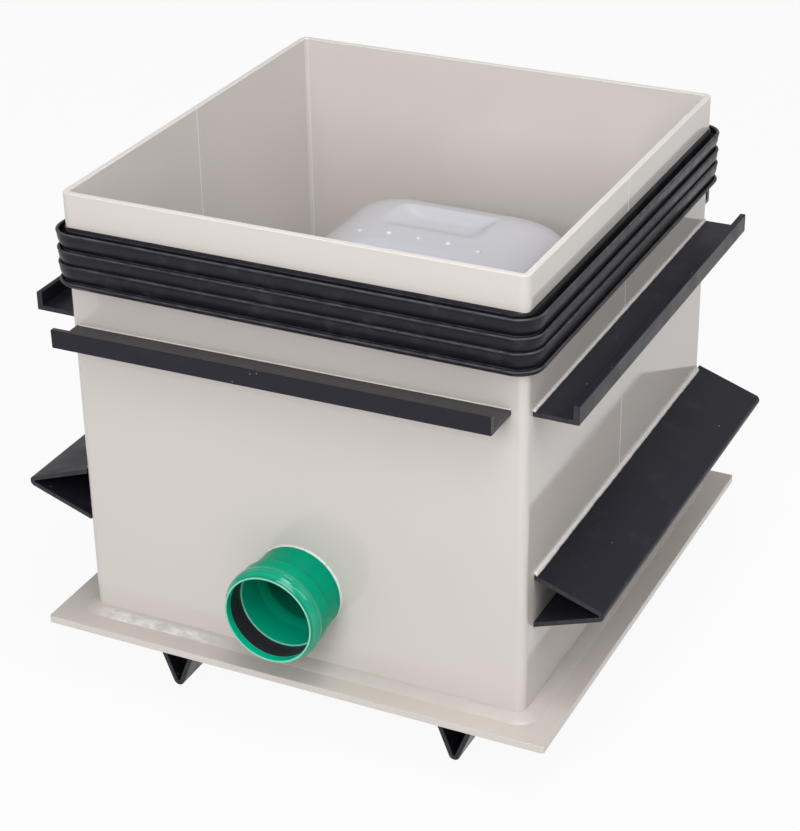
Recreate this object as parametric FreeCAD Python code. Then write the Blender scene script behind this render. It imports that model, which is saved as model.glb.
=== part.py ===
import FreeCAD, Part
import math
import os

from FreeCAD import Vector

# Backwater valve chamber: a welded plastic box with an inline valve for a 110 mm sewer pipe.
# Millimetres, X to the right along the inlet side, Y towards the outlet, Z up from the foot rails.

# Box of two folded sheets on a base plate
chamber_width = 600.0
chamber_depth = 620.0
wall_height = 580.0
wall_thickness = 8.0
corner_radius = 11.0
rim_chamfer = 0.8
base_overhang = 45.0
base_thickness = 10.0
base_corner_radius = 4.0
base_chamfer = 0.6
base_weld_reach = 19.0
base_weld_rise = 6.0
base_weld_crown_out = 0.55
base_weld_crown_up = 0.62

# Folded V profiles: anchors on the left and right sides, rails below the base plate
fold_thickness = 6.0
fold_inner_radius = 1.5
channel_width = 73.0
channel_depth = 88.0
channel_length = 594.0
right_channel_height = 149.0
left_channel_height = 166.0
right_channel_shift = 16.0
left_channel_shift = -9.0
rail_width = 72.0
rail_depth = 80.0
rail_spacing = 392.0
rail_shift = 13.0

# Angle profiles that key the box into concrete
angle_depth = 56.0
angle_lip_height = 24.0
angle_plate_thickness = 6.0
angle_lip_thickness = 7.5
angle_corner_gap = 14.0
front_angle_height = 411.0
right_angle_height = 407.0
left_angle_height = 417.0
rear_angle_height = 413.0
front_angle_shift = -5.0
right_angle_shift = 4.0
left_angle_shift = -1.0
rear_angle_shift = -2.0
front_angle_tilt = 0.6
angle_edge_chamfer = 0.8
profile_weld_leg = 2.2
weld_crown_share = 0.45

# Rubber gaiter round the upper wall
gaiter_foot_height = 462.0
gaiter_tip_heights = (5.5, 28.0, 46.5, 69.5)
gaiter_reach = 15.0
gaiter_web = 8.5
gaiter_collar = 3.5
gaiter_bead_radius = 2.0
gaiter_bead_undercut = 0.9
gaiter_lip_drop = 20.5
gaiter_gutter_depth = 12.0
gaiter_foot_thickness = 2.0
gaiter_crest_rise = 5.0
gaiter_crest_chamfer = 2.0
gaiter_corner_radius = 17.0
gaiter_outer_bulge = (0.8, 0.48)
gaiter_inner_bulge = (0.82, 0.38)

# Sewer pipe with its socket
pipe_height = 106.0
pipe_outer_radius = 55.0
pipe_wall = 3.4
pipe_projection = 80.0
pipe_hole_clearance = 0.2
socket_clearance = 0.4
socket_wall = 3.2
socket_lip_clearance = 0.8
socket_lip_chamfer = 0.6
socket_lip_length = 10.5
socket_groove_length = 26.5
socket_groove_depth = 4.6
socket_bead_start = 3.0
socket_bead_crest = 14.0
socket_bead_crest_end = 20.0
socket_bead_height = 5.4
socket_rear_bead_height = 4.0
socket_bead_step_run = 3.0
socket_bead_overrun = 2.0
socket_bead_fall_run = 4.5
socket_bead_rise_bulge = (0.72, 0.36)
socket_bead_fall_bulge = (0.25, 0.62)
socket_shoulder_run = 4.0
socket_cone_length = 14.0
seal_clearance = 0.2
seal_front_radius = 56.6
seal_rear_radius = 57.0
seal_waist = 0.5
spigot_chamfer = 7.0
spigot_chamfer_drop = 1.8
spigot_mark_distance = 62.0
spigot_mark_width = 2.0
spigot_mark_depth = 1.0
pipe_weld_leg = 2.5
pipe_weld_crown = 0.6

# Valve body, a moulded trough with a wide upper chamber
valve_centre = 45.0
valve_length = 330.0
valve_wall = 6.0
valve_end_wall = 8.0
trough_radius = 74.0
trough_side = 12.0
upper_half_width = 140.0
upper_slope_rise = 52.0
flange_rise = 132.0
flange_thickness = 10.0
flange_overhang = 32.0
flange_corner_radius = 24.0
hub_length = 30.0
hub_wall = 6.0
hub_clearance = 0.1
saddle_spread = 180.0
saddle_thickness = 12.0
saddle_half_width = 92.0
saddle_clearance = 0.1
saddle_grip = 22.0

# Service flap with its seat, hung so that its own weight shuts it
flap_room = 200.0
seat_wall = 6.4
seat_reach = 18.0
seat_tilt = 8.0
flap_gap = 0.3
flap_seal_thickness = 3.0
flap_thickness = 6.0
flap_rib_height = 5.0
flap_rib_width = 5.0
hinge_rise = 74.0
hinge_pin_radius = 4.0
hinge_play = 0.05
knuckle_radius = 9.0
knuckle_half_length = 20.0
ear_gap = 0.5
ear_thickness = 8.0
flap_arm_half_width = 15.0

# Emergency shut-off: a disc on an upright stem, turned by a lever above the lid
tube_wall = 6.0
disc_play = 0.6
disc_thickness = 6.0
disc_hub_radius = 11.0
stem_radius = 7.0
stem_play = 0.06
stem_foot_depth = 12.0
stem_boss_radius = 14.0
stem_boss_rise = 22.0
gland_radius = 12.0
gland_flange_radius = 19.0
gland_flange_thickness = 4.0
gland_fit = 0.1
stem_seal_width = 3.2
stem_seal_height = 3.0
stem_seal_gap = 0.3
lever_gap = 1.0
lever_hub_radius = 14.0
lever_hub_height = 15.0
lever_length = 95.0
lever_width = 16.0
lever_thickness = 8.0

# Lid with its gasket, screws and test plug
gasket_thickness = 3.0
lid_thickness = 10.0
screw_radius = 4.0
screw_play = 0.25
screw_head_radius = 7.5
screw_head_height = 5.5
screw_row_spacing = 124.0
screw_end_spacing = 150.0
screw_side_offset = 8.0
plug_x = -62.0
plug_y = -45.0
plug_radius = 10.0
plug_head_radius = 14.0
plug_head_height = 8.0
plug_play = 0.1

# Protective hood, a thin moulded cap that sits on the lid
hood_wall = 3.0
hood_lid_margin = 7.0
hood_skirt_depth = 22.0
hood_skirt_gap = 1.0
hood_straight_height = 125.0
hood_draft = 9.0
hood_dome_height = 55.0
hood_dome_inset = 115.0
hood_corner_radius = 62.0
hood_dome_angles = (0, 30, 55, 75, 85)
recess_depth = 17.0
recess_floor_start = 64.0
recess_floor_end = 104.0
recess_floor_half_width = 48.0
recess_rim_start = 31.0
recess_rim_end = 111.0
recess_rim_half_width = 70.0
recess_floor_corner = 12.0
recess_rim_corner = 20.0
nub_spacing = 42.0
nub_radius = 5.0
nub_top_radius = 2.6
nub_height = 1.4
nub_count = 5

# Places that follow from the sizes above
half_width = chamber_width / 2
half_depth = chamber_depth / 2
base_bottom = rail_depth
base_top = base_bottom + base_thickness
rim_top = base_top + wall_height
pipe_z = base_top + pipe_height
pipe_bore_radius = pipe_outer_radius - pipe_wall
socket_radius = pipe_outer_radius + socket_clearance
socket_outer_radius = socket_radius + socket_wall
mouth_y = -half_depth - pipe_projection
valve_front = valve_centre - valve_length / 2
valve_rear = valve_centre + valve_length / 2
flange_top = pipe_z + flange_rise
lid_bottom = flange_top + gasket_thickness
lid_top = lid_bottom + lid_thickness
lid_half_x = upper_half_width + flange_overhang
lid_half_y = valve_length / 2 + flange_overhang
stem_y = (valve_front + valve_end_wall + flap_room + valve_rear) / 2
origin = Vector(0, 0, 0)
along_x = Vector(1, 0, 0)
along_y = Vector(0, 1, 0)
along_z = Vector(0, 0, 1)


def line(start, end):
    return Part.makeLine(start, end)


def arc(start, middle, end):
    return Part.Arc(start, middle, end).toShape()


def face(edges):
    return Part.Face(Part.Wire(edges))


def polygon(points):
    return Part.Face(Part.makePolygon(list(points) + [points[0]]))


def moved(shape, x=0.0, y=0.0, z=0.0):
    copy = shape.copy()
    copy.translate(Vector(x, y, z))
    return copy


def turned(shape, axis, angle, centre=origin):
    copy = shape.copy()
    copy.rotate(centre, axis, angle)
    return copy


def box(x_low, x_high, y_low, y_high, z_low, z_high):
    corner = Vector(x_low, y_low, z_low)
    return Part.makeBox(x_high - x_low, y_high - y_low, z_high - z_low, corner)


def rounded_rectangle(half_x, half_y, radius, z):
    slant = radius * (1 - math.sqrt(0.5))
    edges = []
    for quarter in range(4):
        side_x, side_y = (half_x, half_y) if quarter % 2 == 0 else (half_y, half_x)
        start = Vector(side_x, -side_y + radius, z)
        end = Vector(side_x, side_y - radius, z)
        middle = Vector(side_x - slant, side_y - slant, z)
        finish = Vector(side_x - radius, side_y, z)
        pair = [line(start, end), arc(end, middle, finish)]
        edges += [turned(edge, along_z, 90 * quarter) for edge in pair]
    return Part.Wire(edges)


def slab(half_x, half_y, radius, z_low, z_high):
    outline = Part.Face(rounded_rectangle(half_x, half_y, radius, z_low))
    return outline.extrude(Vector(0, 0, z_high - z_low))


def ring_turned(profile, axis_z):
    # The profile lies in the XY plane, X being the radius and Y the place along the pipe
    return moved(profile.revolve(origin, along_y, 360), z=axis_z)


def cylinder_along_y(radius, y_low, y_high, z):
    return Part.makeCylinder(radius, y_high - y_low, Vector(0, y_low, z), along_y)


def upright_cylinder(radius, x, y, z_low, z_high):
    return Part.makeCylinder(radius, z_high - z_low, Vector(x, y, z_low), along_z)


def hexagon(radius, x, y, z_low, z_high):
    points = []
    for corner in range(6):
        angle = math.radians(60 * corner)
        points.append(Vector(x + radius * math.cos(angle), y + radius * math.sin(angle), z_low))
    return polygon(points).extrude(Vector(0, 0, z_high - z_low))


def swept_ring(profile, half_x, half_y, radius):
    # The profile lies in the XZ plane, X counted from the axis of the rounded corner
    centre_x = half_x - radius
    centre_y = half_y - radius
    pieces = []
    for quarter, (sign_x, sign_y) in enumerate(((1, 1), (-1, 1), (-1, -1), (1, -1))):
        run = 2 * (centre_y if quarter % 2 == 0 else centre_x)
        corner = profile.revolve(origin, along_z, 90)
        straight = profile.extrude(Vector(0, -run, 0))
        for piece in (corner, straight):
            piece = turned(piece, along_z, 90 * quarter)
            pieces.append(moved(piece, sign_x * centre_x, sign_y * centre_y))
    return pieces[0].multiFuse(pieces[1:]).removeSplitter()


def base_plate():
    half_x = half_width + base_overhang
    half_y = half_depth + base_overhang
    plate = slab(half_x, half_y, base_corner_radius, base_bottom, base_top)
    level = [e for e in plate.Edges if e.BoundBox.ZLength < 0.001]
    return plate.makeChamfer(base_chamfer, level)


def wall_ring():
    inner_radius = corner_radius - wall_thickness
    outer = slab(half_width, half_depth, corner_radius, base_top, rim_top)
    hollow = slab(half_width - wall_thickness, half_depth - wall_thickness, inner_radius, base_top, rim_top)
    ring = outer.cut(hollow)
    rim = [e for e in ring.Edges if e.BoundBox.ZMin > rim_top - 0.001]
    return ring.makeChamfer(rim_chamfer, rim)


def wall_shell(ring, side, hole_radius):
    far = side * (half_depth + 1)
    half = box(-half_width - 1, half_width + 1, min(0, far), max(0, far), base_top, rim_top + 1)
    hole = cylinder_along_y(hole_radius + pipe_hole_clearance, min(0, far), max(0, far), pipe_z)
    return ring.common(half).cut(hole)


def base_weld_bead():
    start = corner_radius
    foot = Vector(start, 0, base_top)
    toe = Vector(start + base_weld_reach, 0, base_top)
    top = Vector(start, 0, base_top + base_weld_rise)
    crown_out = base_weld_reach * base_weld_crown_out
    crown = Vector(start + crown_out, 0, base_top + base_weld_rise * base_weld_crown_up)
    profile = face([line(foot, toe), arc(toe, crown, top), line(top, foot)])
    return swept_ring(profile, half_width, half_depth, corner_radius)


def fold_profile(width, depth):
    # V section in the XZ plane, open towards X = 0 and pointing along +X
    half = width / 2
    outer = fold_inner_radius + fold_thickness
    centre = depth - outer
    slope = math.atan2(half, centre) - math.asin(outer / math.hypot(centre, half))
    sine = math.sin(slope)
    cosine = math.cos(slope)
    inner_half = half - fold_thickness / cosine
    outer_up = Vector(centre + outer * sine, 0, outer * cosine)
    outer_down = Vector(outer_up.x, 0, -outer_up.z)
    inner_up = Vector(centre + fold_inner_radius * sine, 0, fold_inner_radius * cosine)
    inner_down = Vector(inner_up.x, 0, -inner_up.z)
    top = Vector(0, 0, half)
    bottom = Vector(0, 0, -half)
    inner_top = Vector(0, 0, inner_half)
    inner_bottom = Vector(0, 0, -inner_half)
    return face([
        line(top, outer_up),
        arc(outer_up, Vector(depth, 0, 0), outer_down),
        line(outer_down, bottom),
        line(bottom, inner_bottom),
        line(inner_bottom, inner_down),
        arc(inner_down, Vector(centre + fold_inner_radius, 0, 0), inner_up),
        line(inner_up, inner_top),
        line(inner_top, top),
    ])


def run_along_y(profile, length, shift):
    return moved(profile, y=shift - length / 2).extrude(Vector(0, length, 0))


def anchor_channel(side, height, shift):
    turn = 0 if side > 0 else 180
    channel = run_along_y(fold_profile(channel_width, channel_depth), channel_length, side * shift)
    return turned(moved(channel, half_width, 0, base_top + height), along_z, turn)


def foot_rail(side):
    rail = run_along_y(fold_profile(rail_width, rail_depth), chamber_depth, 0)
    rail = turned(rail, along_y, 90)
    return moved(rail, rail_shift + side * rail_spacing / 2, 0, base_bottom)


def angle_profile():
    ease = angle_edge_chamfer
    plate_end = angle_depth - angle_lip_thickness
    lip_top = angle_lip_height - angle_plate_thickness
    return polygon([
        Vector(0, 0, 0),
        Vector(0, 0, -angle_plate_thickness),
        Vector(angle_depth - ease, 0, -angle_plate_thickness),
        Vector(angle_depth, 0, ease - angle_plate_thickness),
        Vector(angle_depth, 0, lip_top - ease),
        Vector(angle_depth - ease, 0, lip_top),
        Vector(plate_end + ease, 0, lip_top),
        Vector(plate_end, 0, lip_top - ease),
        Vector(plate_end, 0, 0),
    ])


def weld_profile(leg):
    crown = leg * weld_crown_share
    return polygon([Vector(0, 0, 0), Vector(leg, 0, 0), Vector(crown, 0, crown), Vector(0, 0, leg)])


# Sides of the box, each a quarter turn after the last: distance to the wall and length of the side,
# then the height, shift and tilt of its angle
angle_sides = {
    "right": (half_width, chamber_depth, right_angle_height, right_angle_shift, 0),
    "rear": (half_depth, chamber_width, rear_angle_height, -rear_angle_shift, 0),
    "left": (half_width, chamber_depth, left_angle_height, -left_angle_shift, 0),
    "front": (half_depth, chamber_width, front_angle_height, front_angle_shift, front_angle_tilt),
}


def on_side(name, profile):
    quarter = list(angle_sides).index(name)
    distance, side_length, height, shift, tilt = angle_sides[name]
    run = run_along_y(profile, side_length - 2 * angle_corner_gap, shift)
    run = turned(run, along_x, tilt)
    return turned(moved(run, distance, 0, base_top + height), along_z, 90 * quarter)


def channel_weld(side, height, shift):
    # One bead in the corner above the upper leg, leaning on the wall and on the leg
    leg = profile_weld_leg
    half_drop = leg * channel_width / channel_depth / 4
    section = polygon([Vector(0, 0, -half_drop), Vector(leg, 0, -half_drop), Vector(0, 0, leg)])
    section = moved(section, half_width, 0, base_top + height + channel_width / 2 + half_drop)
    return turned(run_along_y(section, channel_length, side * shift), along_z, 0 if side > 0 else 180)


def gaiter_point(reach, height):
    return Vector(gaiter_corner_radius + reach, 0, base_top + gaiter_foot_height + height)


def bulged(start, end, out, up):
    # Arc whose middle lies at the given shares of the way across and of the way up
    middle = Vector(start.x + out * (end.x - start.x), 0, start.z + up * (end.z - start.z))
    return arc(start, middle, end)


def gaiter_lip(tip, start, seat):
    # One upturned lip: outer wall, beaded edge, then the inner wall down to its gutter at the seat
    bead = gaiter_bead_radius
    nose = gaiter_reach - bead
    neck = gaiter_point(gaiter_reach - gaiter_bead_undercut, tip - bead)
    crown = gaiter_point(nose, tip + bead)
    inner = gaiter_point(nose - bead, tip)
    floor = gaiter_point(seat, max(gaiter_foot_thickness, tip - gaiter_gutter_depth))
    slant = bead * math.sqrt(0.5)
    return floor, [
        bulged(start, neck, *gaiter_outer_bulge),
        arc(neck, gaiter_point(nose + slant, tip + slant), crown),
        arc(crown, gaiter_point(nose - slant, tip + slant), inner),
        bulged(floor, inner, *gaiter_inner_bulge),
    ]


def sealing_gaiter():
    foot = gaiter_point(0, 0)
    end = gaiter_point(gaiter_web, 0)
    edges = [line(foot, end)]
    for tip in gaiter_tip_heights:
        root = gaiter_point(gaiter_web, max(0.0, tip - gaiter_lip_drop))
        if root.z > end.z:
            edges.append(line(end, root))
        seat = gaiter_collar if tip == gaiter_tip_heights[-1] else gaiter_web
        end, lip = gaiter_lip(tip, root, seat)
        edges += lip
    # Above the last gutter a thin collar grips the wall
    crest = gaiter_tip_heights[-1] + gaiter_crest_rise
    shoulder = gaiter_point(gaiter_collar, crest - gaiter_crest_chamfer)
    collar = gaiter_point(gaiter_collar - gaiter_crest_chamfer, crest)
    top = gaiter_point(0, crest)
    edges += [line(end, shoulder), line(shoulder, collar), line(collar, top), line(top, foot)]
    ring = swept_ring(face(edges), half_width, half_depth, gaiter_corner_radius)
    box_form = slab(half_width, half_depth, corner_radius, base_top, rim_top)
    return ring.cut(box_form)


def socket_stations():
    # Places along the socket, counted from its mouth
    groove_start = socket_lip_length
    groove_end = groove_start + socket_groove_length
    cone_start = pipe_projection - socket_shoulder_run
    return groove_start, groove_end, cone_start


def at(radius, station):
    # Point of a section turned about the pipe's axis, its station counted from the socket's mouth
    return Vector(radius, mouth_y + station, 0)


def socket_outside(neck_start):
    # Rounded bead in two steps over the seal's groove, then the plain socket
    groove_start, groove_end, cone_start = socket_stations()
    crest = socket_outer_radius + socket_bead_height
    rear = socket_outer_radius + socket_rear_bead_height
    step_end = socket_bead_crest_end + socket_bead_step_run
    fall_start = groove_end + socket_bead_overrun
    fall_end = fall_start + socket_bead_fall_run
    rise_start = at(socket_outer_radius, socket_bead_start)
    up, along = socket_bead_rise_bulge
    rise_run = socket_bead_crest - socket_bead_start
    rise_middle = at(socket_outer_radius + up * socket_bead_height, socket_bead_start + along * rise_run)
    down, along = socket_bead_fall_bulge
    fall_middle = at(rear - down * socket_rear_bead_height, fall_start + along * socket_bead_fall_run)
    return [
        line(at(socket_outer_radius, 0), rise_start),
        arc(rise_start, rise_middle, at(crest, socket_bead_crest)),
        line(at(crest, socket_bead_crest), at(crest, socket_bead_crest_end)),
        line(at(crest, socket_bead_crest_end), at(rear, step_end)),
        line(at(rear, step_end), at(rear, fall_start)),
        arc(at(rear, fall_start), fall_middle, at(socket_outer_radius, fall_end)),
        line(at(socket_outer_radius, fall_end), at(socket_outer_radius, neck_start)),
    ]


def socket_inside():
    # From the pipe's bore back to the mouth: cone, socket bore, groove for the seal, lip
    groove_start, groove_end, cone_start = socket_stations()
    groove_radius = socket_radius + socket_groove_depth
    lip_inner = socket_radius + socket_lip_clearance
    cone_end = cone_start + socket_cone_length
    points = [
        at(pipe_bore_radius, valve_front - mouth_y),
        at(pipe_bore_radius, cone_end),
        at(socket_radius, cone_start),
        at(socket_radius, groove_end),
        at(groove_radius, groove_end),
        at(groove_radius, groove_start),
        at(lip_inner, groove_start),
        at(lip_inner, socket_lip_chamfer),
        at(lip_inner + socket_lip_chamfer, 0),
        at(socket_outer_radius, 0),
    ]
    return [line(first, second) for first, second in zip(points, points[1:])]


def inlet_socket_pipe():
    cone_start = socket_stations()[2]
    neck_start = cone_start + wall_thickness + 2 * socket_shoulder_run
    neck_end = neck_start + socket_cone_length
    tail = valve_front - mouth_y
    pipe = [
        line(at(socket_outer_radius, neck_start), at(pipe_outer_radius, neck_end)),
        line(at(pipe_outer_radius, neck_end), at(pipe_outer_radius, tail)),
        line(at(pipe_outer_radius, tail), at(pipe_bore_radius, tail)),
    ]
    return ring_turned(face(socket_outside(neck_start) + pipe + socket_inside()), pipe_z)


def inlet_lip_seal():
    # Rubber that fills the groove, hollowed a little between its two edges
    groove_start, groove_end, cone_start = socket_stations()
    low = groove_start + seal_clearance
    high = groove_end - seal_clearance
    back = socket_radius + socket_groove_depth - seal_clearance
    waist = (seal_front_radius + seal_rear_radius) / 2 + seal_waist
    front = at(seal_front_radius, low)
    rear = at(seal_rear_radius, high)
    edges = [
        line(front, at(back, low)),
        line(at(back, low), at(back, high)),
        line(at(back, high), rear),
        arc(rear, at(waist, (low + high) / 2), front),
    ]
    return ring_turned(face(edges), pipe_z)


def pipe_weld_ring(radius, side):
    wall = side * half_depth
    reach = side * pipe_weld_leg
    section = polygon([
        Vector(radius, wall, 0),
        Vector(radius + pipe_weld_leg, wall, 0),
        Vector(radius + pipe_weld_leg * pipe_weld_crown, wall + reach * pipe_weld_crown, 0),
        Vector(radius, wall + reach, 0),
    ])
    return ring_turned(section, pipe_z)


def outlet_spigot_pipe():
    # A shallow groove marks how far the next pipe's socket goes on
    end = half_depth + pipe_projection
    mark = end - spigot_mark_distance
    marked = pipe_outer_radius - spigot_mark_depth
    section = polygon([
        Vector(pipe_bore_radius, valve_rear, 0),
        Vector(pipe_outer_radius, valve_rear, 0),
        Vector(pipe_outer_radius, mark - spigot_mark_width, 0),
        Vector(marked, mark - spigot_mark_width, 0),
        Vector(marked, mark, 0),
        Vector(pipe_outer_radius, mark, 0),
        Vector(pipe_outer_radius, end - spigot_chamfer, 0),
        Vector(pipe_outer_radius - spigot_chamfer_drop, end, 0),
        Vector(pipe_bore_radius, end, 0),
    ])
    return ring_turned(section, pipe_z)


def trough_section(inset, top):
    # Cross-section of the trough in the XZ plane: half-round below, widening to the upper chamber
    radius = trough_radius - inset
    wide = upper_half_width - inset
    bend_low = pipe_z + trough_side + inset * 0.5
    bend_high = bend_low + upper_slope_rise
    left = Vector(-radius, 0, pipe_z)
    right = Vector(radius, 0, pipe_z)
    outline = [
        right,
        Vector(radius, 0, bend_low),
        Vector(wide, 0, bend_high),
        Vector(wide, 0, top),
        Vector(-wide, 0, top),
        Vector(-wide, 0, bend_high),
        Vector(-radius, 0, bend_low),
        left,
    ]
    edges = [line(first, second) for first, second in zip(outline, outline[1:])]
    edges.append(arc(left, Vector(0, 0, pipe_z - radius), right))
    return face(edges)


def trough(inset, y_low, y_high, top):
    return moved(trough_section(inset, top), y=y_low).extrude(Vector(0, y_high - y_low, 0))


def seat_y():
    return valve_front + valve_end_wall + seat_reach


def on_seat(shape):
    # Pieces of the flap are drawn upright at the pipe's axis, then leaned onto the sloping seat
    leaned = turned(shape, along_x, seat_tilt)
    return moved(leaned, 0, seat_y(), pipe_z)


def hinge_place():
    knuckle = Vector(0, flap_gap + flap_seal_thickness + flap_thickness / 2, hinge_rise)
    return on_seat(Part.Vertex(knuckle)).Point


def seat_ring():
    start = valve_front + valve_end_wall
    radius = pipe_bore_radius + seat_wall
    ring = cylinder_along_y(radius, start, start + 3 * seat_reach, pipe_z)
    beyond = on_seat(box(-2 * radius, 2 * radius, 0, 4 * seat_reach, -2 * radius, 2 * radius))
    return ring.cut(beyond)


def hinge_ear(side):
    hinge = hinge_place()
    inner = knuckle_half_length + ear_gap
    low = inner if side > 0 else -inner - ear_thickness
    wall = valve_front + valve_end_wall
    plate = box(low, low + ear_thickness, wall, hinge.y, hinge.z - knuckle_radius, hinge.z + knuckle_radius)
    start = Vector(low, hinge.y, hinge.z)
    nose = Part.makeCylinder(knuckle_radius, ear_thickness, start, along_x)
    hole = Part.makeCylinder(hinge_pin_radius + hinge_play, ear_thickness, start, along_x)
    return plate.fuse(nose).cut(hole)


def screw_places():
    row_x = upper_half_width + screw_side_offset
    end_y = valve_length / 2 + screw_side_offset
    places = []
    for side in (-1, 1):
        places += [(side * row_x, valve_centre + step * screw_row_spacing) for step in (-1, 0, 1)]
        places += [(step * screw_end_spacing / 2, valve_centre + side * end_y) for step in (-1, 1)]
    return places


def screw_holes(z_low, z_high):
    radius = screw_radius + screw_play
    holes = [upright_cylinder(radius, x, y, z_low, z_high) for x, y in screw_places()]
    return Part.makeCompound(holes)


def lid_slab(z_low, z_high):
    return moved(slab(lid_half_x, lid_half_y, flange_corner_radius, z_low, z_high), y=valve_centre)


def valve_body():
    inner_front = valve_front + valve_end_wall
    inner_rear = valve_rear - valve_end_wall
    partition_front = inner_front + flap_room
    partition_rear = partition_front + valve_end_wall
    tube_radius = pipe_bore_radius + tube_wall
    hub_radius = pipe_outer_radius + hub_clearance + hub_wall
    shell = trough(0, valve_front, valve_rear, flange_top)
    shell = shell.fuse(lid_slab(flange_top - flange_thickness, flange_top))
    shell = shell.cut(trough(valve_wall, inner_front, inner_rear, flange_top))
    boss_foot = pipe_z - trough_radius + valve_wall / 2
    boss_top = pipe_z + tube_radius + stem_boss_rise
    additions = [
        trough(valve_wall, partition_front, partition_rear, flange_top),
        cylinder_along_y(tube_radius, partition_rear, inner_rear, pipe_z),
        upright_cylinder(stem_boss_radius, 0, stem_y, boss_foot, boss_top),
        cylinder_along_y(hub_radius, valve_front - hub_length, valve_front, pipe_z),
        cylinder_along_y(hub_radius, valve_rear, valve_rear + hub_length, pipe_z),
        seat_ring(),
        hinge_ear(-1),
        hinge_ear(1),
    ]
    hub_bore = pipe_outer_radius + hub_clearance
    stem_foot = pipe_z - pipe_bore_radius - stem_foot_depth
    cuts = [
        cylinder_along_y(pipe_bore_radius, valve_front, valve_rear, pipe_z),
        cylinder_along_y(hub_bore, valve_front - hub_length, valve_front, pipe_z),
        cylinder_along_y(hub_bore, valve_rear, valve_rear + hub_length, pipe_z),
        upright_cylinder(stem_radius + stem_play, 0, stem_y, stem_foot, boss_top),
        screw_holes(flange_top - flange_thickness, flange_top),
    ]
    for addition in additions:
        shell = shell.fuse(addition)
    for cut in cuts:
        shell = shell.cut(cut)
    return shell.removeSplitter()


def valve_saddle(side):
    middle = valve_centre + side * saddle_spread / 2
    low = middle - saddle_thickness / 2
    high = middle + saddle_thickness / 2
    plate = box(-saddle_half_width, saddle_half_width, low, high, base_top, pipe_z - saddle_grip)
    return plate.cut(cylinder_along_y(trough_radius + saddle_clearance, low, high, pipe_z))


def service_flap():
    radius = pipe_bore_radius + seat_wall
    low = flap_gap + flap_seal_thickness
    high = low + flap_thickness
    disc = cylinder_along_y(radius, low, high, 0)
    knuckle_start = Vector(-knuckle_half_length, low + flap_thickness / 2, hinge_rise)
    knuckle = Part.makeCylinder(knuckle_radius, 2 * knuckle_half_length, knuckle_start, along_x)
    arm = box(-flap_arm_half_width, flap_arm_half_width, low, high, 0, hinge_rise)
    flap = disc.fuse(arm).fuse(knuckle)
    for rib in (-1, 0, 1):
        x = rib * (flap_arm_half_width - flap_rib_width / 2)
        reach = math.sqrt(radius ** 2 - x ** 2) - flap_rib_width
        low_x = x - flap_rib_width / 2
        rib_box = box(low_x, low_x + flap_rib_width, high, high + flap_rib_height, -reach, radius)
        flap = flap.fuse(rib_box)
    bore = Part.makeCylinder(hinge_pin_radius + hinge_play, 2 * knuckle_half_length, knuckle_start, along_x)
    return on_seat(flap.cut(bore).removeSplitter())


def flap_seal():
    radius = pipe_bore_radius + seat_wall
    return on_seat(cylinder_along_y(radius, flap_gap, flap_gap + flap_seal_thickness, 0))


def flap_hinge_pin():
    hinge = hinge_place()
    half = knuckle_half_length + ear_gap + ear_thickness
    return Part.makeCylinder(hinge_pin_radius, 2 * half, Vector(-half, hinge.y, hinge.z), along_x)


def closing_disc():
    radius = pipe_bore_radius - disc_play
    start = Vector(-disc_thickness / 2, stem_y, pipe_z)
    disc = Part.makeCylinder(radius, disc_thickness, start, along_x)
    reach = math.sqrt(radius ** 2 - disc_hub_radius ** 2)
    hub = upright_cylinder(disc_hub_radius, 0, stem_y, pipe_z - reach, pipe_z + reach)
    bore = upright_cylinder(stem_radius + stem_play, 0, stem_y, pipe_z - radius, pipe_z + radius)
    return disc.fuse(hub).cut(bore)


def lever_bottom():
    return lid_top + gland_flange_thickness + lever_gap


def closing_stem():
    foot = pipe_z - pipe_bore_radius - stem_foot_depth + stem_play
    return upright_cylinder(stem_radius, 0, stem_y, foot, lever_bottom() + lever_hub_height)


def closing_lever():
    low = lever_bottom()
    high = low + lever_hub_height
    half = lever_width / 2
    end_y = stem_y - lever_length
    arm_low = low + (lever_hub_height - lever_thickness) / 2
    arm_high = arm_low + lever_thickness
    hub = upright_cylinder(lever_hub_radius, 0, stem_y, low, high)
    arm = box(-half, half, end_y, stem_y, arm_low, arm_high)
    grip = upright_cylinder(half, 0, end_y, arm_low, arm_high)
    bore = upright_cylinder(stem_radius + stem_play, 0, stem_y, low, high)
    return hub.fuse(arm).fuse(grip).cut(bore).removeSplitter()


def stem_gland():
    flange_high = lid_top + gland_flange_thickness
    bush = upright_cylinder(gland_radius, 0, stem_y, lid_bottom, lid_top)
    bush = bush.fuse(upright_cylinder(gland_flange_radius, 0, stem_y, lid_top, flange_high))
    bore = upright_cylinder(stem_radius + stem_play, 0, stem_y, lid_bottom, flange_high)
    pocket_radius = stem_radius + stem_seal_gap + stem_seal_width
    pocket = upright_cylinder(pocket_radius, 0, stem_y, lid_bottom, lid_bottom + stem_seal_height)
    return bush.cut(bore).cut(pocket)


def stem_o_ring():
    inner = stem_radius + stem_seal_gap
    ring = upright_cylinder(inner + stem_seal_width, 0, stem_y, lid_bottom, lid_bottom + stem_seal_height)
    return ring.cut(upright_cylinder(inner, 0, stem_y, lid_bottom, lid_bottom + stem_seal_height))


def lid_gasket():
    outer = lid_slab(flange_top, lid_bottom)
    inner_x = upper_half_width - valve_wall
    inner_y = valve_length / 2 - valve_end_wall
    window = box(-inner_x, inner_x, valve_centre - inner_y, valve_centre + inner_y, flange_top, lid_bottom)
    return outer.cut(window).cut(screw_holes(flange_top, lid_bottom))


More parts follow.
